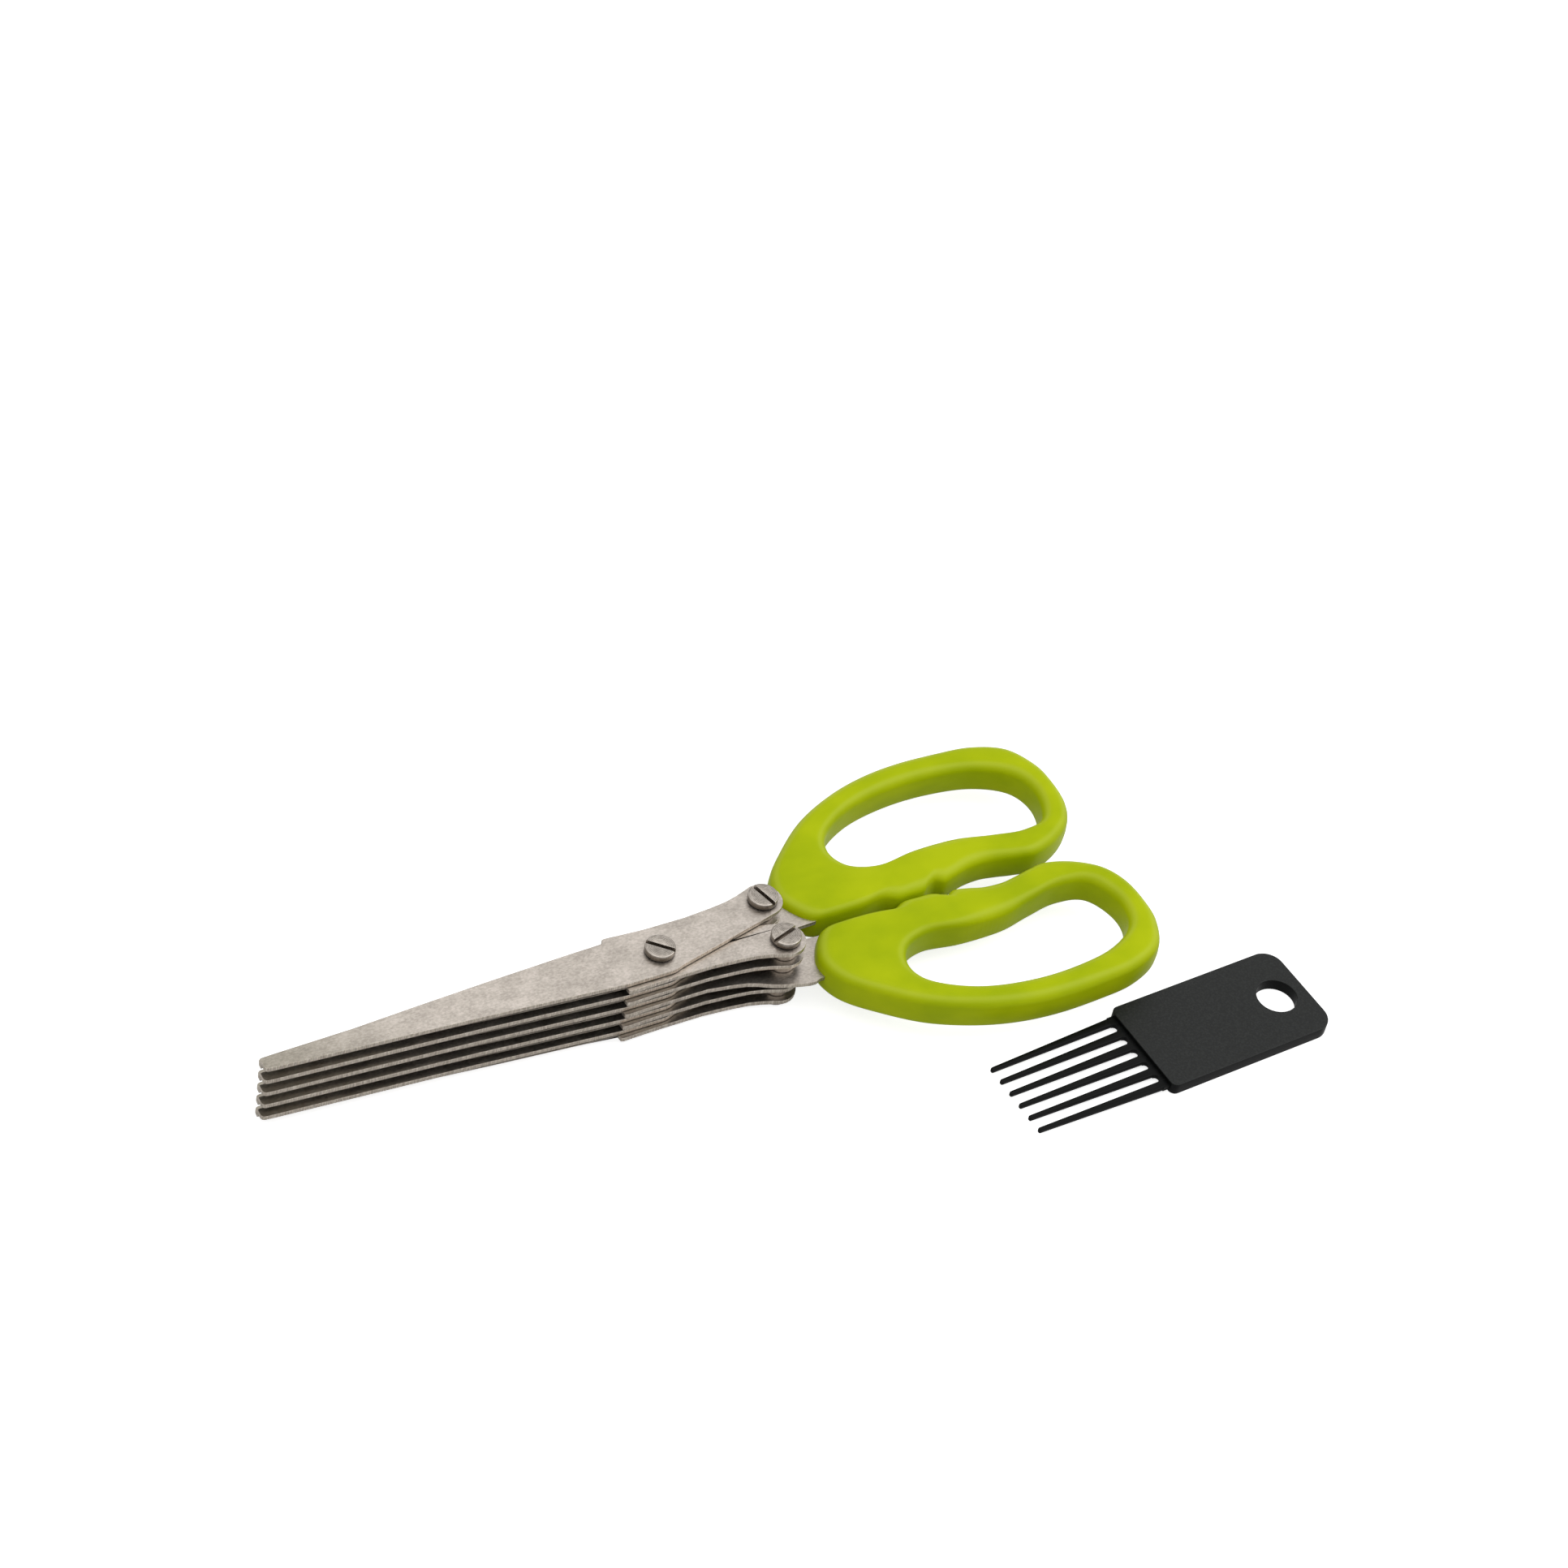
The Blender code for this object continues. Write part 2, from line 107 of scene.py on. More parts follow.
def finishShader(tree, shader, tone, value, rough, height, bump):
    # colour from a socket, roughness as (least, most) over a pattern's values, a bump as (depth, strength)
    tree.links.new(tone, shader.inputs["Base Color"])
    spread = add(tree, "ShaderNodeMapRange", None, value, *noiseRange, *rough)
    tree.links.new(spread.outputs[0], shader.inputs["Roughness"])
    raised = add(tree, "ShaderNodeBump", Strength=bump[1], Distance=bump[0], Height=height)
    tree.links.new(raised.outputs[0], shader.inputs["Normal"])


# materials: tones are (place, colour) stops, rough is (least, most), a bump is (depth, strength)

steel = {
    "face": ((0.38, "#a39b93"), (0.5, "#b4aca3"), (0.62, "#c5bcb4")),
    # painted shade: the undersides over the gaps between the pairs take these much darker tones
    "back": ((0.38, "#4a443c"), (0.5, "#564f47"), (0.62, "#635d54")),
    "edge": ((0.32, "#91887d"), (0.5, "#ada498"), (0.66, "#c9c1b6")),
    "ground": ((0.35, "#8b8379"), (0.65, "#b3aba1")),
    "faceRough": (0.3, 0.4), "edgeRough": (0.34, 0.5), "groundRough": (0.26, 0.38),
    "tipTone": "#cfd0ca", "tipFull": -85 * mm, "tipNone": -55 * mm,
    # rolling, shear and grinding marks are drawn two or three times too coarse, or they wouldn't show
    "rollingLine": (3.0 * mm, 0.14 * mm, 0.14 * mm), "rollingBump": (0.0035 * mm, 0.6),
    "mottle": (5.0 * mm, 3.5 * mm, 3.5 * mm), "mottleShare": 0.35,
    "speck": (0.6 * mm, 0.4 * mm, 0.4 * mm), "speckShare": 0.7,
    "shearMark": (0.22 * mm, 0.22 * mm, 1.6 * mm), "shearBump": (0.012 * mm, 1.0),
    "grindMark": (0.12 * mm, 1.6 * mm, 1.6 * mm), "grindBump": (0.006 * mm, 1.0),
}


def rolledFace(name, tones):
    # rolled stainless strip: faint lengthwise lines, fine specks and cloudy patches, a soft wide gloss,
    # and a slightly darker tip
    material, tree, shader = newMaterial(name)
    drawn, cloudy, specky = (stretched(tree, steel[size]) for size in ("rollingLine", "mottle", "speck"))
    lines = add(tree, "ShaderNodeTexNoise", Vector=drawn, Scale=1.0, Detail=2.0)
    cloud = add(tree, "ShaderNodeTexNoise", Vector=cloudy, Scale=1.0, Detail=3.0)
    speck = add(tree, "ShaderNodeTexNoise", Vector=specky, Scale=1.0, Detail=2.0)
    fine = add(tree, "ShaderNodeMix", {"data_type": "FLOAT"}, steel["speckShare"], i2=lines, i3=speck)
    pattern = add(tree, "ShaderNodeMix", {"data_type": "FLOAT"}, steel["mottleShare"], i2=fine, i3=cloud)
    place = add(tree, "ShaderNodeTexCoord").outputs["Object"]
    along = add(tree, "ShaderNodeSeparateXYZ", None, place).outputs["X"]
    nearTip = add(tree, "ShaderNodeMapRange", None, along, steel["tipFull"], steel["tipNone"], 1.0, 0.0)
    tone = add(tree, "ShaderNodeMix", {"data_type": "RGBA", "blend_type": "MULTIPLY"}, nearTip,
               i6=add(tree, "ShaderNodeValToRGB", {"stops": tones}, pattern), i7=linear(steel["tipTone"]))
    shader.inputs["Metallic"].default_value = 1
    finishShader(tree, shader, tone.outputs[2], pattern, steel["faceRough"], lines, steel["rollingBump"])
    return material


def blankedEdge(name):
    # cut edge of stamped strip: upright shear marks, duller than the faces and uneven
    material, tree, shader = newMaterial(name)
    upright = stretched(tree, steel["shearMark"])
    marks = add(tree, "ShaderNodeTexNoise", Vector=upright, Scale=1.0, Detail=3.0)
    tone = add(tree, "ShaderNodeValToRGB", {"stops": steel["edge"]}, marks).outputs[0]
    shader.inputs["Metallic"].default_value = 1
    finishShader(tree, shader, tone, marks, steel["edgeRough"], marks, steel["shearBump"])
    return material


def groundEdge(name):
    # wet-ground cutting edge: fine marks straight across it, which give it a fine bright line
    material, tree, shader = newMaterial(name)
    crosswise = stretched(tree, steel["grindMark"])
    marks = add(tree, "ShaderNodeTexNoise", Vector=crosswise, Scale=1.0, Detail=2.0)
    tone = add(tree, "ShaderNodeValToRGB", {"stops": steel["ground"]}, marks).outputs[0]
    shader.inputs["Metallic"].default_value = 1
    finishShader(tree, shader, tone, marks, steel["groundRough"], marks, steel["grindBump"])
    return material


turnedFinish = {
    "tones": ((0.3, "#857e76"), (0.5, "#99928a"), (0.7, "#b2aaa1")), "rough": (0.25, 0.37),
    # the rings are about twice as far apart as real ones, or they wouldn't show
    "ring": 0.17 * mm, "ringScale": 0.16, "ringWobble": 1.2, "ringBump": (0.004 * mm, 0.7),
    "blotch": (0.9 * mm,) * 3, "blotchShare": 0.7,
    # painted shade under the head and in the slot: the colour darkens from the top down to the seat
    "paintedShadeHeight": 1.6 * mm, "paintedShade": ((0.0, "#6a6661"), (0.38, "#a9a49f"), (0.78, "#ffffff")),
}


def turnedSteel(name, centre, shadePainted=False):
    # lathe-turned stainless: fine rings round the axis and small dull blotches from tumbling;
    # one with painted shade gets darker towards its seat and in its slot
    material, tree, shader = newMaterial(name)
    place = stretched(tree, (turnedFinish["ring"],) * 3, centre)
    wave = add(tree, "ShaderNodeTexWave", {"wave_type": "RINGS", "rings_direction": "Z"}, place,
               Scale=turnedFinish["ringScale"], Distortion=turnedFinish["ringWobble"], Detail=2.0)
    rings = wave.outputs["Fac"]
    spots = stretched(tree, turnedFinish["blotch"])
    blotch = add(tree, "ShaderNodeTexNoise", Vector=spots, Scale=1.0, Detail=4.0)
    pattern = add(tree, "ShaderNodeMix", {"data_type": "FLOAT"}, turnedFinish["blotchShare"],
                  i2=rings, i3=blotch)
    tone = add(tree, "ShaderNodeValToRGB", {"stops": turnedFinish["tones"]}, pattern).outputs[0]
    if shadePainted:
        # painted shade: darker towards the seat and in the slot
        above = stretched(tree, (turnedFinish["paintedShadeHeight"],) * 3, centre)
        height = add(tree, "ShaderNodeSeparateXYZ", None, above).outputs["Z"]
        paintedShade = add(tree, "ShaderNodeValToRGB", {"stops": turnedFinish["paintedShade"]}, height)
        tone = add(tree, "ShaderNodeMix", {"data_type": "RGBA", "blend_type": "MULTIPLY"}, 1.0,
                   i6=tone, i7=paintedShade).outputs[2]
    shader.inputs["Metallic"].default_value = 1
    finishShader(tree, shader, tone, pattern, turnedFinish["rough"], rings, turnedFinish["ringBump"])
    return material


plastic = {
    # the paler tone and its weight paint a highlight on the handles' top corners
    "tones": ((0.34, "#a5b801"), (0.5, "#afc003"), (0.66, "#b8c708")), "highlightTone": "#c6d348", "highlightWeight": 0.35,
    "cloud": (16 * mm, 12 * mm, 9 * mm), "ior": 1.49, "gloss": 0.09, "rough": (0.33, 0.43),
    "grain": (0.35 * mm,) * 3, "grainBump": (0.008 * mm, 0.5),  # coarser than real, so that it shows
}


def mouldedGreen(name):
    # polypropylene from a spark-eroded mould: soft sheen, hardly visible grain, flow clouds in the
    # colour, and a painted highlight: the top corners painted paler, as if they caught the light
    material, tree, shader = newMaterial(name)
    cloudy, grainy = stretched(tree, plastic["cloud"]), stretched(tree, plastic["grain"])
    cloud = add(tree, "ShaderNodeTexNoise", Vector=cloudy, Scale=1.0, Detail=3.0)
    grain = add(tree, "ShaderNodeTexNoise", Vector=grainy, Scale=1.0, Detail=2.0)
    plainTone = add(tree, "ShaderNodeValToRGB", {"stops": plastic["tones"]}, cloud)
    # painted highlight: the corner weight mixes a paler tone in where the corners would catch the light
    corner = add(tree, "ShaderNodeAttribute", {"attribute_name": "corner"}).outputs["Fac"]
    share = add(tree, "ShaderNodeMath", "MULTIPLY", corner, plastic["highlightWeight"])
    tone = add(tree, "ShaderNodeMix", {"data_type": "RGBA"}, share, i6=plainTone, i7=linear(plastic["highlightTone"]))
    shader.inputs["IOR"].default_value = plastic["ior"]
    shader.inputs["Specular IOR Level"].default_value = plastic["gloss"]
    finishShader(tree, shader, tone.outputs[2], grain, plastic["rough"], grain, plastic["grainBump"])
    return material


combFinish = {
    "turn": radians(2.75), "ior": 1.55,
    "face": ((0.36, "#0d0f0e"), (0.5, "#141615"), (0.64, "#202221")),
    "faceGloss": 0.2, "faceRough": (0.43, 0.56),
    "grain": (0.45 * mm,) * 3, "grainBump": (0.03 * mm, 0.5),  # coarser than real, so that it shows
    # painted shade: the side tones, darker than the face's, go on the plate's side and hole walls and on
    # the tines
    "side": ((0.38, "#0a0b0b"), (0.62, "#101111")), "sideGloss": 0.07, "sideRough": (0.32, 0.41),
    "streak": (6.0 * mm, 0.5 * mm, 0.5 * mm), "streakBump": (0.03 * mm, 0.15),
}


def grainedBlack(name):
    # polystyrene from a sand-blasted mould: matt black with a fine even grain that catches the light
    material, tree, shader = newMaterial(name)
    grainy = stretched(tree, combFinish["grain"])
    grain = add(tree, "ShaderNodeTexNoise", Vector=grainy, Scale=1.0, Detail=3.0)
    tone = add(tree, "ShaderNodeValToRGB", {"stops": combFinish["face"]}, grain).outputs[0]
    shader.inputs["IOR"].default_value = combFinish["ior"]
    shader.inputs["Specular IOR Level"].default_value = combFinish["faceGloss"]
    finishShader(tree, shader, tone, grain, combFinish["faceRough"], grain, combFinish["grainBump"])
    return material


def polishedShadedBlack(name):
    # polystyrene where the mould is polished: smoother, a deeper black that is painted shade, faint flow
    # streaks along the tines
    material, tree, shader = newMaterial(name)
    along = stretched(tree, combFinish["streak"], turn=-combFinish["turn"])
    streak = add(tree, "ShaderNodeTexNoise", Vector=along, Scale=1.0, Detail=2.0)
    tone = add(tree, "ShaderNodeValToRGB", {"stops": combFinish["side"]}, streak).outputs[0]
    shader.inputs["IOR"].default_value = combFinish["ior"]
    shader.inputs["Specular IOR Level"].default_value = combFinish["sideGloss"]
    finishShader(tree, shader, tone, streak, combFinish["sideRough"], streak, combFinish["streakBump"])
    return material


# the undersides over the gaps are painted much darker, as painted shade, which makes the gaps between the
# plates read
plateMaterials = [
    rolledFace("satin stainless strip", steel["face"]), blankedEdge("blanked stainless edge"),
    groundEdge("ground stainless edge"), rolledFace("stainless strip with painted gap shade", steel["back"]),
]
greenPlastic = mouldedGreen("moulded green polypropylene")
blackPlastic = grainedBlack("grained black polystyrene")
blackGlossShaded = polishedShadedBlack("polished black polystyrene with painted shade")
print("materials made")


# mesh helpers

def bodyOf(node):
    # half A has an a in its pieces' names; the pivot's screw, nut and washers stay with half B
    if node == "comb":
        return "comb"
    return "half_a" if "_a" in node else "half_b"


def newPiece(name, mesh, materials, nodes):
    # a finished piece at the origin that stands for its CAD nodes and rides with them
    slots = [polygon.material_index for polygon in mesh.polygons]
    mesh.materials.clear()  # this puts every face back in the first slot
    for material in materials:
        mesh.materials.append(material)
    mesh.polygons.foreach_set("material_index", slots)
    piece = bpy.data.objects.new(name, mesh)
    bpy.context.collection.objects.link(piece)
    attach(piece, bodyOf(nodes[0]))
    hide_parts(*nodes)


def bodyFrom(mesh):
    body = bmesh.new()
    body.from_mesh(mesh)
    bmesh.ops.remove_doubles(body, verts=body.verts, dist=weld)
    return body


def roundEdges(body, width, steps, least, material=-1):
    # rounds every edge that is sharper than the given angle
    sharp = [e for e in body.edges if len(e.link_faces) == 2 and e.calc_face_angle() > least]
    bmesh.ops.bevel(body, geom=sharp, offset=width, segments=steps, profile=0.5, affect="EDGES",
                    clamp_overlap=True, material=material)


def meshFrom(body, name, sharpAngle=radians(40)):
    mesh = bpy.data.meshes.new(name)
    body.to_mesh(mesh)
    body.free()
    mesh.shade_smooth()
    mesh.set_sharp_from_angle(angle=sharpAngle)
    return mesh


def evaluatedMesh(maker):
    # what an object's curve or modifier makes, as a mesh of its own
    bpy.context.view_layer.update()
    graph = bpy.context.evaluated_depsgraph_get()
    return bpy.data.meshes.new_from_object(maker.evaluated_get(graph))


# blade plates: the CAD plates with rounded rims and their finishes

plate = {
    "flat": radians(0.3),  # triangles that meet flatter than this become one face
    "rimRound": 0.07 * mm, "rimSteps": 2, "sharp": radians(25),
    "faceUp": 0.95, "groundUp": 0.3, "flatUp": 0.99,  # how much of a face's normal points up
    # the long shanks run on to a small corner beside the handle: (near, moved to) places on half A
    "shankCorner": (((33.4 * mm, 1.4 * mm), (39.9 * mm, 1.5 * mm)),
                    ((35.6 * mm, 3.6 * mm), (40.3 * mm, 3.6 * mm))),
    "near": 0.1 * mm,  # how far a point may lie from the place given for it
}
faceSlot, edgeSlot, groundSlot, gapShadeSlot = range(4)


def finishedPlate(node):
    body = bodyFrom(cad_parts[node].data)
    bmesh.ops.dissolve_limit(body, angle_limit=plate["flat"], verts=body.verts, edges=body.edges)
    side = 1 if node.startswith("blade_a") else -1
    if node.endswith("3"):
        for (fromX, fromY), (toX, toY) in plate["shankCorner"]:
            for vert in body.verts:
                awayX, awayY = abs(vert.co.x - fromX), abs(vert.co.y * side - fromY)
                if awayX < plate["near"] and awayY < plate["near"]:
                    vert.co.x, vert.co.y = toX, toY * side
    body.normal_update()
    for face in body.faces:
        up = abs(face.normal.z)
        if up > plate["faceUp"]:
            # the undersides over the gaps between the pairs get the darker tones: painted shade
            overGap = face.normal.z < 0 and side < 0 and not node.endswith("5")
            face.material_index = gapShadeSlot if overGap else faceSlot
        else:
            face.material_index = groundSlot if up > plate["groundUp"] else edgeSlot
    roundEdges(body, plate["rimRound"], plate["rimSteps"], plate["sharp"], material=edgeSlot)
    mesh = meshFrom(body, node)
    for polygon in mesh.polygons:
        polygon.use_smooth = abs(polygon.normal.z) < plate["flatUp"]
    newPiece(node.replace("blade", "plate"), mesh, plateMaterials, [node])


for half in "ab":
    for number in range(1, 6):
        finishedPlate(f"blade_{half}{number}")
print("plates finished")


# handles: the CAD loft with many more rings and sides

handle = {
    "start": 33.75 * mm, "length": 78.4 * mm, "width": 37.5 * mm, "sink": 0.33 * mm,
    # corners as (across, up), never wider than a share of half the bar
    "corner": (3.0 * mm, 2.0 * mm), "cornerPower": 2.1, "cornerMost": 0.8, "cornerSteps": 8,
    "draftAbove": 0.4 * mm, "draftBelow": 0.35 * mm, "draftPower": 1.5, "dome": 0.35 * mm,
    "narrowing": 0.98, "ringsPerSpan": 8,
    "highlightPlace": 1.6, "highlightFocus": 4,  # where up the corner the painted highlight sits, and how narrow it is
    # the outline's part with the stops: its range along the handle, and how near to the other handle
    "stopRange": (0.25, 0.52), "stopSide": 0.1, "stopFade": 2.5,
    # places as shares of the length and the width; the middle is a point that the loop goes round
    "loopMiddle": (0.576, 0.533),
    "outline": [
        (0.003, 0.267), (0.026, 0.135), (0.067, 0.045), (0.128, 0.028), (0.218, 0.029), (0.290, 0.046),
        (0.333, 0.010), (0.375, 0.008), (0.416, 0.010), (0.442, 0.038), (0.466, 0.058), (0.492, 0.032),
        (0.531, 0.048), (0.580, 0.075), (0.640, 0.083), (0.691, 0.069), (0.750, 0.046), (0.806, 0.038),
        (0.883, 0.092), (0.951, 0.197), (0.988, 0.347), (0.996, 0.533), (0.986, 0.695), (0.938, 0.868),
        (0.843, 0.961), (0.730, 0.991), (0.589, 1.000), (0.461, 0.971), (0.339, 0.899), (0.211, 0.771),
        (0.102, 0.591), (0.028, 0.430),
    ],
    "loop": [
        (0.240, 0.480), (0.270, 0.622), (0.373, 0.745), (0.499, 0.803), (0.640, 0.816), (0.787, 0.779),
        (0.889, 0.665), (0.918, 0.480), (0.878, 0.279), (0.787, 0.238), (0.691, 0.276), (0.589, 0.327),
        (0.474, 0.325), (0.359, 0.289), (0.272, 0.345),
    ],
}


def smoothRound(points, steps):
    # closed smooth curve through the points
    points = np.array(points)
    before, after, second = (np.roll(points, k, axis=0) for k in (1, -1, -2))
    result = []
    for k in range(len(points)):
        for t in np.arange(steps) / steps:
            result.append(0.5 * (2 * points[k] + (after[k] - before[k]) * t
                                 + (2 * before[k] - 5 * points[k] + 4 * after[k] - second[k]) * t ** 2
                                 + (3 * points[k] - before[k] - 3 * after[k] + second[k]) * t ** 3))
    return np.array(result)


def calmOutline():
    # the outline with a straight line in place of the stops
    first, last = handle["stopRange"]
    inside = [spot for spot in handle["outline"] if spot[1] < handle["stopSide"]]
    ends = (max(s for s in inside if s[0] <= first), min(s for s in inside if s[0] >= last))
    return [(x, np.interp(x, *np.transpose(ends)) if (x, y) in inside and first < x < last else y)
            for x, y in handle["outline"]]


def barSection(halfWidth, halfHeight):
    # cross-section of the moulded bar as (across, height): soft corners, walls with draft, a domed top
    wide = min(handle["corner"][0], handle["cornerMost"] * halfWidth)
    tall = handle["corner"][1]
    turns = np.linspace(0, pi / 2, handle["cornerSteps"] + 1)
    power = 2 / handle["cornerPower"]
    quarter = np.column_stack([halfWidth - wide + wide * np.cos(turns).clip(0) ** power,
                               halfHeight - tall + tall * np.sin(turns) ** power])
    flat = [(s * (halfWidth - wide), halfHeight) for s in (0.5, 0, -0.5)]
    wall = [(-halfWidth, s * (halfHeight - tall)) for s in (0.5, 0, -0.5)]
    above = np.concatenate([quarter, flat, quarter[::-1] * (-1, 1), wall])
    section = np.concatenate([above, -above])
    isAbove = section[:, 1] > 0
    share = (np.abs(section[:, 1]) / halfHeight) ** handle["draftPower"]
    draft = np.where(isAbove, handle["draftAbove"], handle["draftBelow"]) * share
    section[:, 1] -= np.where(isAbove, handle["dome"], 0) * (section[:, 0] / halfWidth) ** 2
    section[:, 0] *= 1 - draft / halfWidth
    return section


def cornerHighlight():
    # painted highlight at the section's first points, from one wall over the top to the other: most on the
    # corners
    steps = handle["cornerSteps"]
    turns = [pi * (k / steps) ** handle["highlightPlace"] for k in range(steps + 1)]
    corner = [sin(t) ** handle["highlightFocus"] for t in turns]
    return corner + [0.0] * 3 + corner[::-1]


def fullHandle(node, side):
    low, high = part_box(node)
    middleHeight, halfHeight = (low[2] + high[2]) / 2 - handle["sink"], (high[2] - low[2]) / 2
    start, reach = np.array([handle["start"], 0]), np.array([handle["length"], handle["width"]])
    outline, calmLine, loop = (start + smoothRound(line, handle["ringsPerSpan"]) * reach
                               for line in (handle["outline"], calmOutline(), handle["loop"]))
    # each ring of the bar lies on a line from the loop's middle through the calm outline
    middle = start + np.array(handle["loopMiddle"]) * reach
    loopAway, away = loop - middle, calmLine - middle
    loopTurn = np.arctan2(loopAway[:, 1], loopAway[:, 0])
    order = np.argsort(loopTurn)
    turns = np.arctan2(away[:, 1], away[:, 0])
    radii = np.interp(turns, loopTurn[order], np.hypot(*loopAway[order].T), period=tau)
    inner = middle + radii[:, None] * np.column_stack([np.cos(turns), np.sin(turns)])
    body = bmesh.new()
    # the corner attribute carries each point's painted highlight weight to the green material
    corner = body.verts.layers.float.new("corner")
    highlightWeight = cornerHighlight()
    rings = []
    for edge, outside, inside in zip(outline, calmLine, inner):
        halfWidth = np.hypot(*(outside - inside)) / 2
        section = barSection(halfWidth, halfHeight)
        across = section[:, :1] / halfWidth
        spots = (outside + inside) / 2 + (outside - inside) / 2 * across * handle["narrowing"]
        spots += (edge - outside) * ((1 + across) / 2) ** handle["stopFade"]  # stops on the outer wall
        verts = [body.verts.new((x, side * y, middleHeight + height))
                 for (x, y), height in zip(spots, section[:, 1])]
        for vert, value in zip(verts, highlightWeight):
            vert[corner] = value
        rings.append(verts)
    for verts, after in zip(rings, rings[1:] + rings[:1]):
        for k in range(len(verts)):
            n = (k + 1) % len(verts)
            body.faces.new((verts[k], verts[n], after[n], after[k]))
    bmesh.ops.recalc_face_normals(body, faces=body.faces)
    mesh = meshFrom(body, node, pi)
    newPiece(node.replace("handle", "grip"), mesh, [greenPlastic], [node])


fullHandle("handle_a", 1)
fullHandle("handle_b", -1)
print("handles made")


# screws, nuts, washers and spacers: Geometry Nodes trees with named sizes

poleWeld = 0.003 * mm  # closes the tiny hole that a swept profile leaves at the axis


def sizedTree(name, inputs):
    # an empty tree with its named inputs; gives the tree and the input sockets
    tree = bpy.data.node_groups.new(name, "GeometryNodeTree")
    tree.interface.new_socket("Geometry", in_out="OUTPUT", socket_type="NodeSocketGeometry")
    for label, kind in inputs:
        tree.interface.new_socket(label, in_out="INPUT", socket_type="NodeSocket" + kind)
    return tree, add(tree, "NodeGroupInput").outputs


def endTree(tree, geometry, material):
    # every tree ends the same way: real geometry, its material, the output
    real = add(tree, "GeometryNodeRealizeInstances", None, geometry)
    dressed = add(tree, "GeometryNodeSetMaterial", Geometry=real, Material=material)
    add(tree, "NodeGroupOutput", Geometry=dressed)


def meshFromTree(name, tree, values):
    # runs the tree on an empty object and keeps the result as a plain mesh
    maker = bpy.data.objects.new(name, bpy.data.meshes.new(name))
    bpy.context.collection.objects.link(maker)
    modifier = maker.modifiers.new("sizes", "NODES")
    modifier.node_group = tree
    for item in tree.interface.items_tree:
        if item.in_out == "INPUT":
            modifier[item.identifier] = values[item.name]
    mesh = evaluatedMesh(maker)
    maker.modifiers.remove(modifier)
    bpy.data.objects.remove(maker)
    return mesh


def row(tree, item, count, start, step, turn=(0.0, 0.0, 0.0)):
    # copies of an item in a straight row
    spots = add(tree, "GeometryNodeMeshLine", Count=count, Start_Location=start, Offset=step)
    return add(tree, "GeometryNodeInstanceOnPoints", Points=spots, Instance=item, Rotation=turn)


def revolved(tree, profile, sides, radius):
    # sweeps a profile, drawn as (out from the path, up), round a circle in the floor plane
    path = add(tree, "GeometryNodeCurvePrimitiveCircle", Resolution=sides, Radius=radius)
    level = add(tree, "GeometryNodeSetCurveNormal", {"mode": "Z_UP"}, Curve=path)
    swept = add(tree, "GeometryNodeCurveToMesh", Curve=level, Profile_Curve=profile)
    return add(tree, "GeometryNodeMergeByDistance", Geometry=swept, Distance=poleWeld)


screw = {
    "headRadius": 3.3 * mm, "headHeight": 1.6 * mm, "headRound": 0.35 * mm, "headSides": 72,
    "roundSteps": 5, "poleRadius": 0.001 * mm, "shaftRadius": 2.0 * mm, "shaftSides": 40,
    "shaftInHead": 0.25,  # share of the head's height that the shaft runs up into it
    "slotWidth": 0.9 * mm, "slotDepth": 1.0 * mm,
    "slotRound": 0.05 * mm, "slotSteps": 2, "slotSharp": radians(60),
    "turns": {"pivot_screw": -43, "tang_screw_a": -74, "tang_screw_b": 18},  # degrees
}
ring = {"bore": 2.1 * mm, "rimRound": 0.12 * mm, "rimSteps": 3, "sides": 48}


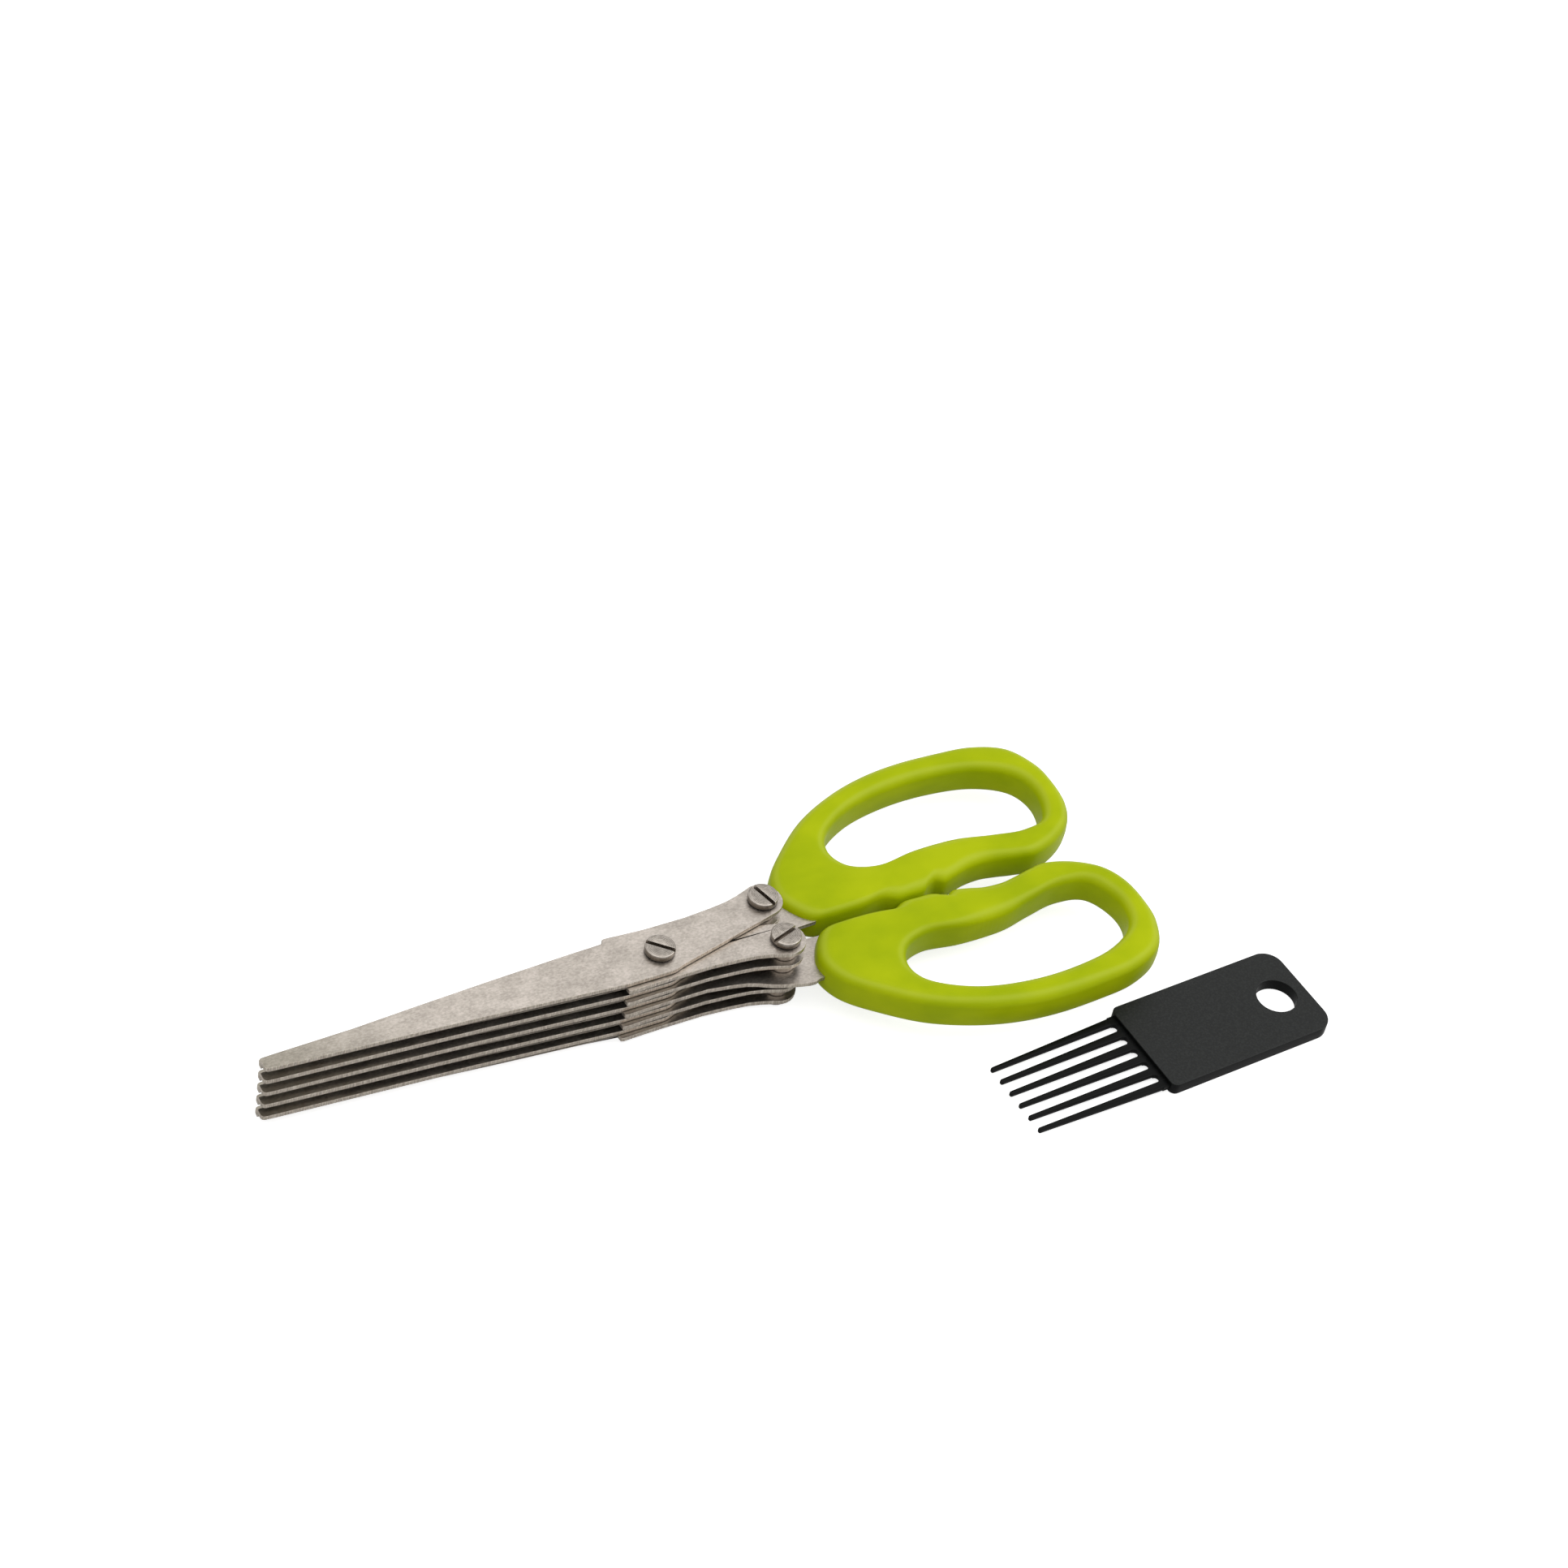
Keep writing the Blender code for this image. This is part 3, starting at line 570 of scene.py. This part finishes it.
def slottedScrewTree():
    tree, size = sizedTree("slotted screw", [
        ("Head Radius", "Float"), ("Head Height", "Float"), ("Rim Round", "Float"),
        ("Shaft Radius", "Float"), ("Shaft Length", "Float"), ("Slot Width", "Float"),
        ("Slot Depth", "Float"), ("Slot Turn", "Float"), ("Place", "Vector"), ("Material", "Material")])
    radius, height, length = size["Head Radius"], size["Head Height"], size["Shaft Length"]
    # half of the head's outline, turned round the axis; a profile's up comes out as down on this path
    drop = add(tree, "ShaderNodeMath", "MULTIPLY", height, -1.0)
    profile = add(tree, "GeometryNodeCurvePrimitiveQuadrilateral", {"mode": "POINTS"},
                  Point_1=(0, 0, 0), Point_2=add(tree, "ShaderNodeCombineXYZ", X=radius),
                  Point_3=add(tree, "ShaderNodeCombineXYZ", X=radius, Y=drop),
                  Point_4=add(tree, "ShaderNodeCombineXYZ", Y=drop))
    opened = add(tree, "GeometryNodeSetSplineCyclic", Geometry=profile, Cyclic=False)
    index = add(tree, "GeometryNodeInputIndex")
    onRim = add(tree, "ShaderNodeMath", "COMPARE", index, 1.5, 0.6)  # points 1 and 2: seat and top
    rimRound = add(tree, "ShaderNodeMath", "MULTIPLY", onRim, size["Rim Round"])
    rim = add(tree, "GeometryNodeFilletCurve", {"mode": "POLY"}, Curve=opened, Count=screw["roundSteps"],
              Radius=rimRound)
    head = revolved(tree, rim, screw["headSides"], screw["poleRadius"])
    overlap = add(tree, "ShaderNodeMath", "MULTIPLY", height, screw["shaftInHead"])
    rod = add(tree, "GeometryNodeMeshCylinder", Vertices=screw["shaftSides"], Radius=size["Shaft Radius"],
              Depth=add(tree, "ShaderNodeMath", "ADD", length, overlap))
    overhang = add(tree, "ShaderNodeMath", "SUBTRACT", overlap, length)
    rodMiddle = add(tree, "ShaderNodeMath", "MULTIPLY", overhang, 0.5)
    shaft = add(tree, "GeometryNodeTransform", Geometry=rod,
                Translation=add(tree, "ShaderNodeCombineXYZ", Z=rodMiddle))
    whole = add(tree, "GeometryNodeMeshBoolean", {"operation": "UNION", "solver": "EXACT"},
                Mesh_2=[head, shaft])
    cutterLength = add(tree, "ShaderNodeMath", "MULTIPLY", radius, 2.5)  # longer than the head is wide
    cutterHeight = add(tree, "ShaderNodeMath", "MULTIPLY", size["Slot Depth"], 2.0)  # half is above it
    cutterSize = add(tree, "ShaderNodeCombineXYZ", None, cutterLength, size["Slot Width"], cutterHeight)
    block = add(tree, "GeometryNodeMeshCube", Size=cutterSize)
    cutter = add(tree, "GeometryNodeTransform", Geometry=block,
                 Translation=add(tree, "ShaderNodeCombineXYZ", Z=height),
                 Rotation=add(tree, "ShaderNodeCombineXYZ", Z=size["Slot Turn"]))
    slotted = add(tree, "GeometryNodeMeshBoolean", {"operation": "DIFFERENCE", "solver": "EXACT"},
                  Mesh_1=whole, Mesh_2=cutter)
    placed = add(tree, "GeometryNodeTransform", Geometry=slotted, Translation=size["Place"])
    endTree(tree, placed, size["Material"])
    return tree


def ringStackTree():
    tree, size = sizedTree("stack of rings", [
        ("Bore Radius", "Float"), ("Outer Radius", "Float"), ("Height", "Float"), ("Rim Round", "Float"),
        ("Count", "Int"), ("Pitch", "Float"), ("Place", "Vector"), ("Material", "Material")])
    wall = add(tree, "ShaderNodeMath", "SUBTRACT", size["Outer Radius"], size["Bore Radius"])
    both = add(tree, "ShaderNodeMath", "ADD", size["Outer Radius"], size["Bore Radius"])
    middle = add(tree, "ShaderNodeMath", "MULTIPLY", both, 0.5)
    profile = add(tree, "GeometryNodeCurvePrimitiveQuadrilateral", Width=wall, Height=size["Height"])
    rim = add(tree, "GeometryNodeFilletCurve", {"mode": "POLY"}, Curve=profile, Count=ring["rimSteps"],
              Radius=size["Rim Round"])
    one = revolved(tree, rim, ring["sides"], middle)
    step = add(tree, "ShaderNodeCombineXYZ", Z=size["Pitch"])
    endTree(tree, row(tree, one, size["Count"], size["Place"], step), size["Material"])
    return tree


screwTree, ringTree = slottedScrewTree(), ringStackTree()


def finishedScrew(node):
    low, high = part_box(node)
    place = ((low[0] + high[0]) / 2, (low[1] + high[1]) / 2, high[2] - screw["headHeight"])
    label = node.replace("_screw", "").replace("_", " ")
    # the screw heads get painted shade towards their seats and in their slots
    steelLook = turnedSteel("turned stainless " + label, place, shadePainted=True)
    mesh = meshFromTree(node, screwTree, {
        "Head Radius": screw["headRadius"], "Head Height": screw["headHeight"],
        "Rim Round": screw["headRound"], "Shaft Radius": screw["shaftRadius"],
        "Shaft Length": place[2] - low[2], "Slot Width": screw["slotWidth"],
        "Slot Depth": screw["slotDepth"], "Slot Turn": radians(screw["turns"][node]),
        "Place": place, "Material": steelLook})
    body = bodyFrom(mesh)
    roundEdges(body, screw["slotRound"], screw["slotSteps"], screw["slotSharp"])
    bmesh.ops.recalc_face_normals(body, faces=body.faces)
    newPiece(node + "_turned", meshFrom(body, node), [steelLook], [node])


def finishedRings(name, nodes):
    # nodes from the lowest to the highest, all of one size
    low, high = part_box(nodes[0])
    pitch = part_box(nodes[1])[0][2] - low[2] if len(nodes) > 1 else 0.0
    place = ((low[0] + high[0]) / 2, (low[1] + high[1]) / 2, (low[2] + high[2]) / 2)
    steelLook = turnedSteel("turned stainless " + name.replace("_", " "), place)
    mesh = meshFromTree(name, ringTree, {
        "Bore Radius": ring["bore"], "Outer Radius": (high[0] - low[0]) / 2,
        "Height": high[2] - low[2], "Rim Round": ring["rimRound"], "Count": len(nodes),
        "Pitch": pitch, "Place": place, "Material": steelLook})
    body = bodyFrom(mesh)
    bmesh.ops.recalc_face_normals(body, faces=body.faces)
    newPiece(name, meshFrom(body, name), [steelLook], nodes)


for node in screw["turns"]:
    finishedScrew(node)
for half in "ab":
    finishedRings(f"spacer_stack_{half}", [f"tang_spacer_{half}{k}" for k in (4, 3, 2, 1)])
    finishedRings(f"nut_{half}", [f"tang_nut_{half}"])
finishedRings("washer_stack", [f"pivot_washer_{k}" for k in (4, 3, 2, 1)])
finishedRings("nut_pivot", ["pivot_nut"])
print("screws, nuts, washers and spacers made")


# comb: a moulded plate, and tines from a tree

comb = {
    "place": (93.65 * mm, -50.1 * mm, 0), "turn": combFinish["turn"],
    "length": 44.3 * mm, "width": 24.3 * mm, "height": 3.0 * mm, "rimRound": 0.22 * mm, "rimSteps": 3,
    "farCorner": 4.4 * mm, "farSteps": 16, "rootCorner": 1.6 * mm, "rootSteps": 8,
    "holeInset": 7.4 * mm, "holeRadius": 4.6 * mm, "holeSteps": 64, "sharp": radians(35),
    "faceUp": 0.5, "flatUp": 0.999,  # how much of a face's normal points up
    "tines": 6, "tineLength": 33.3 * mm, "tineHeight": 1.1 * mm, "tineLift": 0.9 * mm,
    "tineRoot": 2.1 * mm, "tineTip": 0.9 * mm, "tineRound": 0.28 * mm, "tineRings": 26,
    "roundSteps": 3, "crowding": 2.5, "tipLeast": 0.02, "pitch": 3.9 * mm, "tipPitch": 3.62 * mm,
    "web": 0.8 * mm, "slotSides": 32,
}
combPlace = Matrix.Translation(comb["place"]) @ Matrix.Rotation(comb["turn"], 4, "Z")


def arc(x, y, radius, start, end, steps):
    turns = [radians(start + (end - start) * k / steps) for k in range(steps + 1)]
    return [(x + radius * cos(t), y + radius * sin(t)) for t in turns]


def combPlate():
    # a filled curve with a rounded rim; the hole runs the other way round
    length, half, far, near = comb["length"], comb["width"] / 2, comb["farCorner"], comb["rootCorner"]
    outline = (arc(near, -half + near, near, 180, 270, comb["rootSteps"])
               + arc(length - far, -half + far, far, 270, 360, comb["farSteps"])
               + arc(length - far, half - far, far, 0, 90, comb["farSteps"])
               + arc(near, half - near, near, 90, 180, comb["rootSteps"]))
    hole = arc(length - comb["holeInset"], 0, comb["holeRadius"], 0, 360, comb["holeSteps"])[:-1][::-1]
    curve = bpy.data.curves.new("comb plate", "CURVE")
    curve.dimensions = "2D"
    curve.fill_mode = "BOTH"
    curve.extrude = comb["height"] / 2 - comb["rimRound"]
    curve.bevel_depth = comb["rimRound"]
    curve.bevel_resolution = comb["rimSteps"]
    curve.offset = -comb["rimRound"]
    for points in (outline, hole):
        spline = curve.splines.new("POLY")
        spline.points.add(len(points) - 1)
        for spot, (x, y) in zip(spline.points, points):
            spot.co = (x, y, 0, 1)
        spline.use_cyclic_u = True
    maker = bpy.data.objects.new("comb plate", curve)
    bpy.context.collection.objects.link(maker)
    body = bodyFrom(evaluatedMesh(maker))
    bpy.data.objects.remove(maker)
    bmesh.ops.recalc_face_normals(body, faces=body.faces)
    body.transform(combPlace @ Matrix.Translation((0, 0, comb["height"] / 2)))
    mesh = meshFrom(body, "comb_plate", comb["sharp"])
    # the side and hole walls take the darker black: painted shade
    for polygon in mesh.polygons:
        polygon.use_smooth = abs(polygon.normal.z) < comb["flatUp"]
        polygon.material_index = 0 if abs(polygon.normal.z) > comb["faceUp"] else 1
    newPiece("comb_plate", mesh, [blackPlastic, blackGlossShaded], ["comb"])


def taperedTine(tree, size):
    # one tine along -X from the root at the origin, blunt-ended; its rings crowd together at the tip
    line = add(tree, "GeometryNodeMeshLine", Count=comb["tineRings"])
    index = add(tree, "GeometryNodeInputIndex")
    share = add(tree, "ShaderNodeMath", "DIVIDE", index, float(comb["tineRings"] - 1))
    rest = add(tree, "ShaderNodeMath", "SUBTRACT", 1.0, share)
    crowded = add(tree, "ShaderNodeMath", "POWER", rest, comb["crowding"])
    gone = add(tree, "ShaderNodeMath", "SUBTRACT", crowded, 1.0)
    along = add(tree, "ShaderNodeMath", "MULTIPLY", gone, size["Length"])
    spread = add(tree, "GeometryNodeSetPosition", Geometry=line,
                 Position=add(tree, "ShaderNodeCombineXYZ", X=along))
    spine = add(tree, "GeometryNodeMeshToCurve", Mesh=spread)
    level = add(tree, "GeometryNodeSetCurveNormal", {"mode": "Z_UP"}, Curve=spine)
    section = add(tree, "GeometryNodeCurvePrimitiveQuadrilateral", Width=size["Root Width"],
                  Height=size["Thickness"])
    rounded = add(tree, "GeometryNodeFilletCurve", {"mode": "POLY"}, Curve=section,
                  Count=comb["roundSteps"], Radius=size["Rim Round"])
    bar = add(tree, "GeometryNodeCurveToMesh", Curve=level, Profile_Curve=rounded, Fill_Caps=True)
    spot = add(tree, "GeometryNodeInputPosition")
    axes = add(tree, "ShaderNodeSeparateXYZ", None, spot).outputs
    # the width tapers evenly, and the last half width of the tip closes as a circle does
    away = add(tree, "ShaderNodeMath", "MULTIPLY", axes["X"], -1.0)
    reach = add(tree, "ShaderNodeMath", "DIVIDE", away, size["Length"])
    tipShare = add(tree, "ShaderNodeMath", "DIVIDE", size["Tip Width"], size["Root Width"])
    taper = add(tree, "ShaderNodeMapRange", None, reach, 0.0, 1.0, 1.0, tipShare)
    left = add(tree, "ShaderNodeMath", "ADD", axes["X"], size["Length"])
    tipRadius = add(tree, "ShaderNodeMath", "MULTIPLY", size["Tip Width"], 0.5)
    fromTip = add(tree, "ShaderNodeMath", "DIVIDE", left, tipRadius)
    capped = add(tree, "ShaderNodeMath", "MINIMUM", fromTip, 1.0)
    inside = add(tree, "ShaderNodeMath", "SUBTRACT", 1.0, capped)
    squared = add(tree, "ShaderNodeMath", "MULTIPLY", inside, inside)
    circle = add(tree, "ShaderNodeMath", "SUBTRACT", 1.0, squared)
    closed = add(tree, "ShaderNodeMath", "MAXIMUM", circle, comb["tipLeast"])
    blunt = add(tree, "ShaderNodeMath", "SQRT", closed)
    narrow = add(tree, "ShaderNodeMath", "MULTIPLY", taper, blunt)
    across = add(tree, "ShaderNodeMath", "MULTIPLY", axes["Y"], narrow)
    thin = add(tree, "ShaderNodeMath", "SQRT", blunt)
    height = add(tree, "ShaderNodeMath", "MULTIPLY", axes["Z"], thin)
    shaped = add(tree, "ShaderNodeCombineXYZ", None, axes["X"], across, height)
    return add(tree, "GeometryNodeSetPosition", Geometry=bar, Position=shaped)


def tineTree():
    # tines side by side on a web with round-ended slots; their tips lie closer together than their roots
    tree, size = sizedTree("comb tines", [
        ("Count", "Int"), ("Length", "Float"), ("Root Width", "Float"), ("Tip Width", "Float"),
        ("Thickness", "Float"), ("Rim Round", "Float"), ("Pitch", "Float"), ("Tip Pitch", "Float"),
        ("Web", "Float"), ("Depth", "Float"), ("Material", "Material")])
    pitch, step = size["Pitch"], add(tree, "ShaderNodeCombineXYZ", Y=size["Pitch"])
    last = add(tree, "ShaderNodeMath", "SUBTRACT", size["Count"], 1.0)
    rootSpan = add(tree, "ShaderNodeMath", "MULTIPLY", last, pitch)
    firstPlace = add(tree, "ShaderNodeMath", "MULTIPLY", rootSpan, -0.5)
    # each tine turns towards the middle, the outer ones the most
    index = add(tree, "GeometryNodeInputIndex")
    middle = add(tree, "ShaderNodeMath", "MULTIPLY", last, 0.5)
    fromMiddle = add(tree, "ShaderNodeMath", "SUBTRACT", index, middle)
    closing = add(tree, "ShaderNodeMath", "SUBTRACT", pitch, size["Tip Pitch"])
    shift = add(tree, "ShaderNodeMath", "MULTIPLY", fromMiddle, closing)
    fan = add(tree, "ShaderNodeMath", "DIVIDE", shift, size["Length"])
    start, turn = add(tree, "ShaderNodeCombineXYZ", Y=firstPlace), add(tree, "ShaderNodeCombineXYZ", Z=fan)
    tines = row(tree, taperedTine(tree, size), size["Count"], start, step, turn)
    realTines = add(tree, "GeometryNodeRealizeInstances", Geometry=tines)
    # the web joins their roots, with a round-ended slot between each two
    gap = add(tree, "ShaderNodeMath", "SUBTRACT", pitch, size["Root Width"])
    slotRadius = add(tree, "ShaderNodeMath", "MULTIPLY", gap, 0.5)
    slotDepth = add(tree, "ShaderNodeMath", "ADD", size["Web"], slotRadius)
    slotEnd = add(tree, "ShaderNodeMath", "MULTIPLY", slotDepth, -1.0)
    webWidth = add(tree, "ShaderNodeMath", "ADD", rootSpan, size["Root Width"])
    webLength = add(tree, "ShaderNodeMath", "SUBTRACT", size["Depth"], slotEnd)
    webSize = add(tree, "ShaderNodeCombineXYZ", None, webLength, webWidth, size["Thickness"])
    halfWeb = add(tree, "ShaderNodeMath", "MULTIPLY", webLength, 0.5)
    webPlace = add(tree, "ShaderNodeMath", "SUBTRACT", size["Depth"], halfWeb)
    web = add(tree, "GeometryNodeTransform", Geometry=add(tree, "GeometryNodeMeshCube", Size=webSize),
              Translation=add(tree, "ShaderNodeCombineXYZ", X=webPlace))
    drill = add(tree, "GeometryNodeMeshCylinder", Vertices=comb["slotSides"], Radius=slotRadius,
                Depth=add(tree, "ShaderNodeMath", "MULTIPLY", size["Thickness"], 2.0))
    halfPitch = add(tree, "ShaderNodeMath", "MULTIPLY", pitch, 0.5)
    firstSlot = add(tree, "ShaderNodeMath", "ADD", firstPlace, halfPitch)
    drills = row(tree, drill, last, add(tree, "ShaderNodeCombineXYZ", X=slotEnd, Y=firstSlot), step)
    notched = add(tree, "GeometryNodeMeshBoolean", {"operation": "DIFFERENCE", "solver": "EXACT"},
                  Mesh_1=web, Mesh_2=add(tree, "GeometryNodeRealizeInstances", Geometry=drills))
    joined = add(tree, "GeometryNodeMeshBoolean", {"operation": "UNION", "solver": "EXACT"},
                 Mesh_2=[realTines, notched])
    endTree(tree, joined, size["Material"])
    return tree


def combTines():
    mesh = meshFromTree("comb_tines", tineTree(), {
        "Count": comb["tines"], "Length": comb["tineLength"], "Root Width": comb["tineRoot"],
        "Tip Width": comb["tineTip"], "Thickness": comb["tineHeight"], "Rim Round": comb["tineRound"],
        "Pitch": comb["pitch"], "Tip Pitch": comb["tipPitch"], "Web": comb["web"],
        "Depth": comb["rootCorner"], "Material": blackGlossShaded})
    body = bodyFrom(mesh)
    bmesh.ops.recalc_face_normals(body, faces=body.faces)
    body.transform(combPlace @ Matrix.Translation((0, 0, comb["tineLift"] + comb["tineHeight"] / 2)))
    newPiece("comb_tines", meshFrom(body, "comb_tines"), [blackGlossShaded], ["comb"])


combPlate()
combTines()
print("comb made")


# stage: floor, lamps, world and camera

stage = {"size": 3.0, "colour": "#cbcbcb", "roughness": 0.9, "glow": 0.8, "glowInMetal": 0.25}
floorMesh = bpy.data.meshes.new("floor")
half = stage["size"] / 2
floorMesh.from_pydata([(-half, -half, 0), (half, -half, 0), (half, half, 0), (-half, half, 0)], [],
                      [(0, 1, 2, 3)])
floor = bpy.data.objects.new("floor", floorMesh)
bpy.context.collection.objects.link(floor)

# white paper backdrop: glows for the camera, so it stays white round the object, and a little in metal
paper, paperTree, paperShader = newMaterial("white paper backdrop")
paperShader.inputs["Base Color"].default_value = linear(stage["colour"])
paperShader.inputs["Roughness"].default_value = stage["roughness"]
paperShader.inputs["Emission Color"].default_value = (1, 1, 1, 1)
ray = add(paperTree, "ShaderNodeLightPath").outputs
seen = add(paperTree, "ShaderNodeMath", "MAXIMUM", ray["Is Camera Ray"], ray["Is Transmission Ray"])
mirrored = add(paperTree, "ShaderNodeMath", "MULTIPLY", ray["Is Glossy Ray"], stage["glowInMetal"])
glow = add(paperTree, "ShaderNodeMath", "MULTIPLY_ADD", seen, stage["glow"], mirrored)
paperTree.links.new(glow.outputs[0], paperShader.inputs["Emission Strength"])
floorMesh.materials.append(paper)

lighting = {
    "world": 0.4,
    "aim": (0.02, -0.01, 0.01),
    "lamps": (  # name, place, size, watts
        ("top softbox", (-0.1, -0.05, 1.1), 1.5, 7.1),
        ("right softbox", (0.85, -0.35, 0.85), 0.8, 4.0),
    ),
}
world = bpy.data.worlds.new("studio")
bpy.context.scene.world = world
world.use_nodes = True
worldTree = world.node_tree
background = worldTree.nodes["Background"]
background.inputs["Color"].default_value = (1, 1, 1, 1)
ray = add(worldTree, "ShaderNodeLightPath").outputs
seen = ray["Is Camera Ray"]
for kind in ("Is Glossy Ray", "Is Transmission Ray"):
    seen = add(worldTree, "ShaderNodeMath", "MAXIMUM", seen, ray[kind])
level = add(worldTree, "ShaderNodeMapRange", None, seen, 0.0, 1.0, lighting["world"], 1.0)
worldTree.links.new(level.outputs[0], background.inputs["Strength"])

for name, place, size, watts in lighting["lamps"]:
    lamp = bpy.data.lights.new(name, "AREA")
    lamp.size = size
    lamp.energy = watts
    lampObject = bpy.data.objects.new(name, lamp)
    lampObject.location = place
    towards = Vector(lighting["aim"]) - Vector(place)
    lampObject.rotation_euler = towards.to_track_quat("-Z", "Y").to_euler()
    bpy.context.collection.objects.link(lampObject)

view = {  # the photograph's camera, fitted to the blades, screws and comb
    "azimuth": -36.83, "elevation": 43.63, "roll": 11.77,  # degrees
    "focal": 4500.0, "frame": 1932.0, "pivotX": 812.6, "pivotY": 1172.0,  # pixels
    "distance": 760.5 * mm, "pivotHeight": 18.6 * mm, "sensor": 36, "clip": 10 * mm,
}
azimuth, elevation, roll = (radians(view[k]) for k in ("azimuth", "elevation", "roll"))
back = Vector((sin(azimuth) * cos(elevation), -cos(azimuth) * cos(elevation), sin(elevation)))
sideways = Vector((cos(azimuth), sin(azimuth), 0))
above = back.cross(sideways)
right = sideways * cos(roll) + above * sin(roll)
up = above * cos(roll) - sideways * sin(roll)
shiftX = (view["pivotX"] - view["frame"] / 2) / view["focal"] * view["distance"]
shiftY = (view["frame"] / 2 - view["pivotY"]) / view["focal"] * view["distance"]
place = back * view["distance"] - right * shiftX - up * shiftY + Vector((0, 0, view["pivotHeight"]))
camera = bpy.data.objects.new("camera", bpy.data.cameras.new("camera"))
camera.data.sensor_width = view["sensor"]
camera.data.lens = view["focal"] * view["sensor"] / view["frame"]
camera.data.clip_start = view["clip"]
turn = Matrix((right, up, back)).transposed()
camera.matrix_world = Matrix.Translation(place) @ turn.to_4x4()
bpy.context.collection.objects.link(camera)
bpy.context.scene.camera = camera
bpy.context.scene.view_settings.view_transform = "Standard"
print("stage set")
